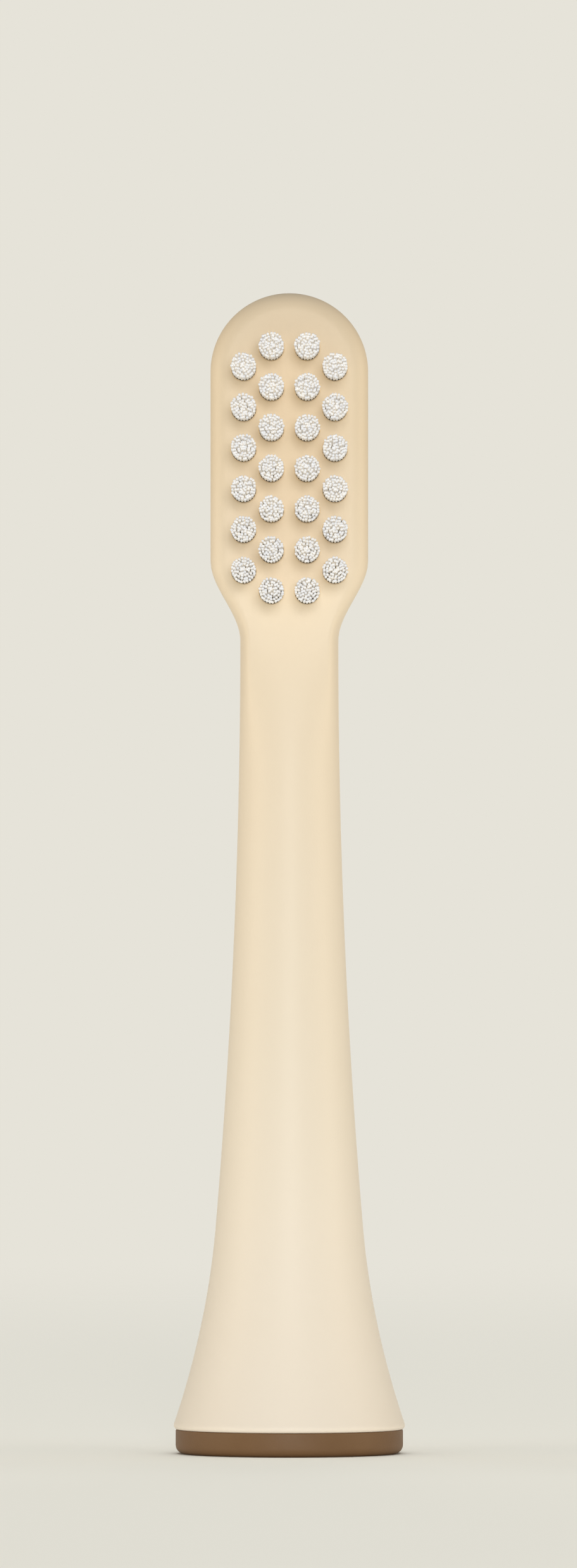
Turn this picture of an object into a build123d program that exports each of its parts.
from build123d import *
import math
import os

# Push-on head of a sonic toothbrush, standing on its foot with the bristles facing -Y.
# Sizes are in millimetres. The origin is the middle of the foot's underside, and +Z runs
# up the line of the drive shaft to the tip of the head.

# Outer form
TOTAL_LENGTH = 79.6
BASE_DIAMETER = 16.1
FLARE_DIAMETER = 10.1
FLARE_HEIGHT = 15.6
NECK_DIAMETER = 6.72
PLATE_WIDTH = 10.8
PLATE_THICKNESS = 4.8
PLATE_FRONT = 2.6
PLATE_FRONT_ROUND = 1.2
PLATE_BACK_ROUND = 1.9
SHOULDER_LENGTH = 5.4
SHOULDER_BESIDE_FACE = 3.3
FLATTEN_LENGTH = 11.5
BASE_CHAMFER = 0.3
FLATTEN_STEPS = 5
SHOULDER_STEPS = 6

# Foot ring
RING_BAND = 1.65
RING_INSET = 0.25
RING_BORE_DIAMETER = 9.6
RING_SPIGOT_WALL = 1.15
RING_SPIGOT_HEIGHT = 2.05
RING_CHAMFER = 0.45

# Hollow foot of the body, and the socket core in it
HOLLOW_DIAMETER = 8.4
CORE_CLEARANCE = 0.05
CORE_FLANGE = 1.0
CORE_FLANGE_WIDTH = 2.0
CORE_WALL = 0.87
CORE_CAP = 2.0
CORE_HEADROOM = 3.0
RIB_COUNT = 4
RIB_START_ANGLE = 45
RIB_THICKNESS = 1.0
SHAFT_DIAMETER = 4.0
SHAFT_CLEARANCE = 0.03
SHAFT_DEPTH = 8.3
KEY_STEP = 0.25
KEY_FLAT_CUT = 0.58
KEY_DEPTH = 8.0

# Spring clip that grips the shaft
CLIP_THICKNESS = 0.3
CLIP_WIDTH = 2.2
CLIP_LEG = 9.0
CLIP_GROOVE = 0.25
CLIP_BUMP_HEIGHT = 2.2
CLIP_BUMP_RISE = 2.5
CLIP_BITE = 0.08
CLIP_CLEARANCE = 0.05

# Tufts, and the anchors that hold them; a column's size is the distance from its left to its right copy
TUFT_DIAMETER = 1.64
TUFT_CLEARANCE = 0.03
TUFT_LENGTH = 9.5
TUFT_SIDES = 12
ROW_PITCH = 2.78
INNER_COLUMNS = 2.44
OUTER_COLUMNS = 6.24
INNER_ROWS = 7
OUTER_ROWS = 6
TOP_ROW_FROM_TIP = 3.78
FACE_BELOW_ROWS = 1.22
BACK_WALL = 1.6
ANCHOR_HEIGHT = 1.5
ANCHOR_THICKNESS = 0.25
ANCHOR_SEAT = 0.45
ANCHOR_CLEARANCE = 0.02

# Heights and radii that follow from those sizes
TOP_ROW = TOTAL_LENGTH - TOP_ROW_FROM_TIP
FACE_BOTTOM = TOP_ROW - (INNER_ROWS - 1) * ROW_PITCH - FACE_BELOW_ROWS
SHOULDER_TOP = FACE_BOTTOM + SHOULDER_BESIDE_FACE
NECK_TOP = SHOULDER_TOP - SHOULDER_LENGTH
LOFT_BOTTOM = FACE_BOTTOM - FLATTEN_LENGTH
TIP_CENTRE = TOTAL_LENGTH - PLATE_WIDTH / 2
PLATE_BACK = PLATE_THICKNESS - PLATE_FRONT
NECK_RADIUS = NECK_DIAMETER / 2
FLARE_RADIUS = FLARE_DIAMETER / 2
BASE_RADIUS = BASE_DIAMETER / 2
RING_BORE_RADIUS = RING_BORE_DIAMETER / 2
SPIGOT_RADIUS = RING_BORE_RADIUS + RING_SPIGOT_WALL
SPIGOT_TOP = RING_BAND + RING_SPIGOT_HEIGHT
SEAT_HEIGHT = SPIGOT_TOP + CORE_FLANGE
HOLLOW_RADIUS = HOLLOW_DIAMETER / 2
BORE_RADIUS = SHAFT_DIAMETER / 2 + SHAFT_CLEARANCE
BORE_TOP = SPIGOT_TOP + SHAFT_DEPTH
KEY_RADIUS = BORE_RADIUS - KEY_STEP
KEY_TOP = BORE_TOP + KEY_DEPTH
CORE_TOP = KEY_TOP + CORE_CAP
CORE_RADIUS = BORE_RADIUS + CORE_WALL
CLIP_SEAT = CORE_RADIUS - CLIP_GROOVE
CLIP_BOTTOM = CORE_TOP - CLIP_LEG
CLIP_BUMP = CLIP_BOTTOM + CLIP_BUMP_RISE
CLIP_REACH = math.hypot(CLIP_SEAT + CLIP_THICKNESS, CLIP_WIDTH / 2)
HOLE_RADIUS = TUFT_DIAMETER / 2 + TUFT_CLEARANCE
HOLE_DEPTH = PLATE_THICKNESS - BACK_WALL
HOLE_FLOOR = HOLE_DEPTH - PLATE_FRONT
ANCHOR_LENGTH = 2 * (HOLE_RADIUS - ANCHOR_CLEARANCE)
STANDING = (Align.CENTER, Align.CENTER, Align.MIN)


def disc(radius, low, high):
    """Upright round bar on the shaft's axis, between two heights."""
    return Pos(0, 0, low) * Cylinder(radius, high - low, align=STANDING)


# Body skin: the radius grows with the square of the way down the neck, then faster in the trumpet foot
def neck_radius(height):
    """Radius of the round neck at a height above the flare."""
    share = max(NECK_TOP - height, 0) / (NECK_TOP - FLARE_HEIGHT)
    return NECK_RADIUS + (FLARE_RADIUS - NECK_RADIUS) * share**2


def lower_body():
    """Trumpet foot and round neck, turned about the shaft's axis."""
    top = (neck_radius(LOFT_BOTTOM), LOFT_BOTTOM)
    joint = (FLARE_RADIUS, FLARE_HEIGHT)
    foot = (BASE_RADIUS, RING_BAND)
    slope = 2 * (FLARE_RADIUS - NECK_RADIUS) / (NECK_TOP - FLARE_HEIGHT)
    neck_middle = (top[1] + joint[1]) / 2
    flare_middle = (joint[1] + foot[1]) / 2
    neck = Bezier(top, (FLARE_RADIUS - slope * (neck_middle - FLARE_HEIGHT), neck_middle), joint)
    flare = Bezier(joint, (FLARE_RADIUS + slope * (FLARE_HEIGHT - flare_middle), flare_middle), foot)
    closing = Polyline(foot, (0, RING_BAND), (0, LOFT_BOTTOM), top)
    turned = revolve(Plane.XZ * make_face([neck, flare, closing]), Axis.Z)
    return chamfer(turned.edges().filter_by(GeomType.CIRCLE).group_by(Axis.Z)[0], BASE_CHAMFER)


# Upper body: sections that change from the round neck to the flat plate
def plate_outline():
    """Eight edges of the plate's section, from the front flat round by the right."""
    half, near, far = PLATE_WIDTH / 2, PLATE_FRONT_ROUND, PLATE_BACK_ROUND
    front, back = -PLATE_FRONT, PLATE_BACK
    return [
        Line((near - half, front), (half - near, front)),
        CenterArc((half - near, front + near), near, -90, 90),
        Line((half, front + near), (half, back - far)),
        CenterArc((half - far, back - far), far, 0, 90),
        Line((half - far, back), (far - half, back)),
        CenterArc((far - half, back - far), far, 90, 90),
        Line((-half, back - far), (-half, front + near)),
        CenterArc((near - half, front + near), near, 180, 90),
    ]


def neck_outline(radius):
    """The round neck in eight arcs, each with the share of the way round that the plate's edge has."""
    lengths = [edge.length for edge in plate_outline()]
    angles = [360 * length / sum(lengths) for length in lengths]
    start = -90 - angles[0] / 2
    arcs = []
    for angle in angles:
        arcs.append(CenterArc((0, 0), radius, start, angle))
        start += angle
    return arcs


def smooth_step(value, low, high):
    """Rises from 0 at low to 1 at high, level at both ends."""
    share = min(max((value - low) / (high - low), 0), 1)
    return share * share * (3 - 2 * share)


def blended_outline(height):
    """Eight edges of the section at a height: width follows the shoulder, depth the flattening."""
    wide = smooth_step(height, NECK_TOP, SHOULDER_TOP)
    deep = smooth_step(height, LOFT_BOTTOM, FACE_BOTTOM)

    def mix(neck, plate):
        return (neck.X + (plate.X - neck.X) * wide, neck.Y + (plate.Y - neck.Y) * deep)

    edges = []
    for neck, plate in zip(neck_outline(neck_radius(height)), plate_outline()):
        spots = [mix(neck @ share, plate @ share) for share in (0, 0.5, 1)]
        slopes = [mix((neck % share) * neck.length, (plate % share) * plate.length) for share in (0, 1)]
        edges.append(Spline(*spots, tangents=slopes))
    return edges


def section(edges, height):
    """Level face at a height."""
    return Pos(0, 0, height) * make_face(edges)


def upper_body():
    """Flattened neck, shoulder, plate and its round tip."""
    flatten_rise = (NECK_TOP - LOFT_BOTTOM) / FLATTEN_STEPS
    shoulder_rise = SHOULDER_LENGTH / SHOULDER_STEPS
    heights = [LOFT_BOTTOM + flatten_rise * step for step in range(1, FLATTEN_STEPS)]
    heights += [NECK_TOP + shoulder_rise * step for step in range(SHOULDER_STEPS)]
    sections = [section(neck_outline(neck_radius(LOFT_BOTTOM)), LOFT_BOTTOM)]
    sections += [section(blended_outline(height), height) for height in heights]
    sections.append(section(plate_outline(), SHOULDER_TOP))
    plate = extrude(sections[-1], TIP_CENTRE - SHOULDER_TOP, dir=(0, 0, 1))
    right_half = Rectangle(PLATE_WIDTH, 4 * PLATE_THICKNESS, align=(Align.MIN, Align.CENTER))
    tip_face = make_face(plate_outline()) & right_half
    tip = revolve(Pos(0, 0, TIP_CENTRE) * tip_face, Axis((0, 0, TIP_CENTRE), (0, -1, 0)), 180)
    return loft(sections, ruled=True) + plate + tip


# Tuft field: two inner columns, and two outer ones set half a row lower
def tuft_seats():
    """Name and seat of each tuft, with the seat's Z axis along the bristles."""
    seats = {}
    columns = (("inner", INNER_COLUMNS, INNER_ROWS, 0), ("outer", OUTER_COLUMNS, OUTER_ROWS, ROW_PITCH / 2))
    for column, spacing, rows, drop in columns:
        for side, sign in (("left", -1), ("right", 1)):
            for row in range(rows):
                origin = (sign * spacing / 2, HOLE_FLOOR, TOP_ROW - drop - row * ROW_PITCH)
                seat = Plane(origin, x_dir=(1, 0, 0), z_dir=(0, -1, 0))
                seats[f"tuft_{column}_{side}_{row + 1}"] = seat.location
    return seats


def anchor_plate(clearance):
    """Flat wire anchor across a tuft, in the tuft's own frame."""
    sizes = (ANCHOR_THICKNESS, ANCHOR_LENGTH, ANCHOR_HEIGHT)
    block = Box(*(size + 2 * clearance for size in sizes), align=STANDING)
    return Pos(0, 0, ANCHOR_SEAT - clearance) * block


def bundle_outline(radius):
    """Outline of a bundle of filaments, with flats at its sides, its top and its bottom."""
    return RegularPolygon(radius, TUFT_SIDES, major_radius=False, rotation=180 / TUFT_SIDES)


def tuft():
    """Bundle of filaments that stands in its hole, folded round its anchor."""
    bundle = extrude(bundle_outline(TUFT_DIAMETER / 2), HOLE_DEPTH + TUFT_LENGTH)
    return bundle - anchor_plate(ANCHOR_CLEARANCE)


def body():
    """One moulding: trumpet foot, neck and plate, hollow at the foot and drilled for the tufts."""
    mouth = disc(SPIGOT_RADIUS + CORE_CLEARANCE, RING_BAND, SEAT_HEIGHT)
    hollow = disc(HOLLOW_RADIUS, SEAT_HEIGHT, CLIP_BOTTOM)
    clip_room = disc(CLIP_REACH + CLIP_CLEARANCE, CLIP_BOTTOM, CORE_TOP + CORE_HEADROOM)
    hole = extrude(bundle_outline(HOLE_RADIUS), 2 * HOLE_DEPTH)
    holes = [seat * hole for seat in tuft_seats().values()]
    return lower_body() + upper_body() - [mouth, hollow, clip_room, *holes]


def base_ring():
    """Dark ring that closes the foot, with a spigot up into the body and a recess for the handle's collar."""
    outer = BASE_RADIUS - RING_INSET
    outline = Polyline(
        (RING_BORE_RADIUS, 0),
        (outer, 0),
        (outer, RING_BAND),
        (SPIGOT_RADIUS, RING_BAND),
        (SPIGOT_RADIUS, SPIGOT_TOP),
        (RING_BORE_RADIUS, SPIGOT_TOP),
        close=True,
    )
    face = make_face(outline)
    face = chamfer(face.vertices().group_by(Axis.Y)[0].sort_by(Axis.X)[-1], RING_CHAMFER)
    return revolve(Plane.XZ * face, Axis.Z)


def core_blank():
    """Sleeve, foot flange and the ribs that fill the hollow below the clip."""
    flange = disc(SPIGOT_RADIUS, SPIGOT_TOP, SEAT_HEIGHT)
    flange -= disc(SPIGOT_RADIUS - CORE_FLANGE_WIDTH, SPIGOT_TOP, SEAT_HEIGHT)
    plug = disc(HOLLOW_RADIUS - CORE_CLEARANCE, SPIGOT_TOP, CLIP_BOTTOM)
    blade = Pos(0, 0, SPIGOT_TOP) * Box(BASE_DIAMETER, RIB_THICKNESS, CORE_TOP, align=STANDING)
    angles = [RIB_START_ANGLE + 360 / RIB_COUNT * step for step in range(RIB_COUNT // 2)]
    ribs = [plug & Rot(0, 0, angle) * blade for angle in angles]
    return disc(CORE_RADIUS, SPIGOT_TOP, CORE_TOP) + flange + ribs


def socket_core():
    """Ribbed plug in the foot, with the round bore for the shaft and its D-shaped key above."""
    bore = disc(BORE_RADIUS, SPIGOT_TOP, BORE_TOP)
    key = disc(KEY_RADIUS, BORE_TOP, KEY_TOP)
    beyond_flat = Box(4 * KEY_RADIUS, 2 * KEY_FLAT_CUT, KEY_DEPTH, align=STANDING)
    key -= Pos(0, KEY_RADIUS, BORE_TOP) * beyond_flat
    return core_blank() - [bore, key, clip_grooves()]


def clip_grooves():
    """Flats down the core's two sides for the clip's legs, with windows for the bumps."""
    width = CLIP_WIDTH + 2 * CLIP_CLEARANCE
    groove = Box(CORE_RADIUS, width, 2 * CLIP_LEG, align=(Align.MIN, Align.CENTER, Align.MIN))
    window_height = CLIP_BUMP_HEIGHT + 4 * CLIP_THICKNESS
    window = Box(CORE_RADIUS, width, window_height, align=(Align.MIN, Align.CENTER, Align.CENTER))
    side = Pos(CLIP_SEAT, 0, CLIP_BOTTOM - CLIP_CLEARANCE) * groove
    side += Pos(KEY_RADIUS / 2, 0, CLIP_BUMP) * window
    return side + Rot(0, 0, 180) * side


def shaft_clip():
    """Bent steel strip over the core, with a bump on each leg that grips the shaft."""
    leg = CLIP_SEAT + CLIP_THICKNESS / 2
    apex = KEY_RADIUS - CLIP_BITE + CLIP_THICKNESS / 2
    half_bump = CLIP_BUMP_HEIGHT / 2
    right = [
        (leg, CLIP_BOTTOM),
        (leg, CLIP_BUMP - half_bump),
        (apex, CLIP_BUMP),
        (leg, CLIP_BUMP + half_bump),
        (leg, CORE_TOP + CLIP_THICKNESS / 2),
    ]
    left = [(-x, z) for x, z in reversed(right)]
    strip = trace(Polyline(*right, *left), CLIP_THICKNESS)
    return extrude(Plane.XZ * strip, CLIP_WIDTH / 2, both=True)


def write(name, shape):
    """Saves one sub-part as its own STEP file."""
    export_step(shape, os.path.join("parts", f"{name}.step"))


os.makedirs("parts", exist_ok=True)
write("body", body())
write("base_ring", base_ring())
write("socket_core", socket_core())
write("shaft_clip", shaft_clip())
one_tuft = tuft()
anchors = []
for name, seat in tuft_seats().items():
    write(name, seat * one_tuft)
    anchors.append(seat * anchor_plate(0))
write("tuft_anchors", Compound(children=anchors))
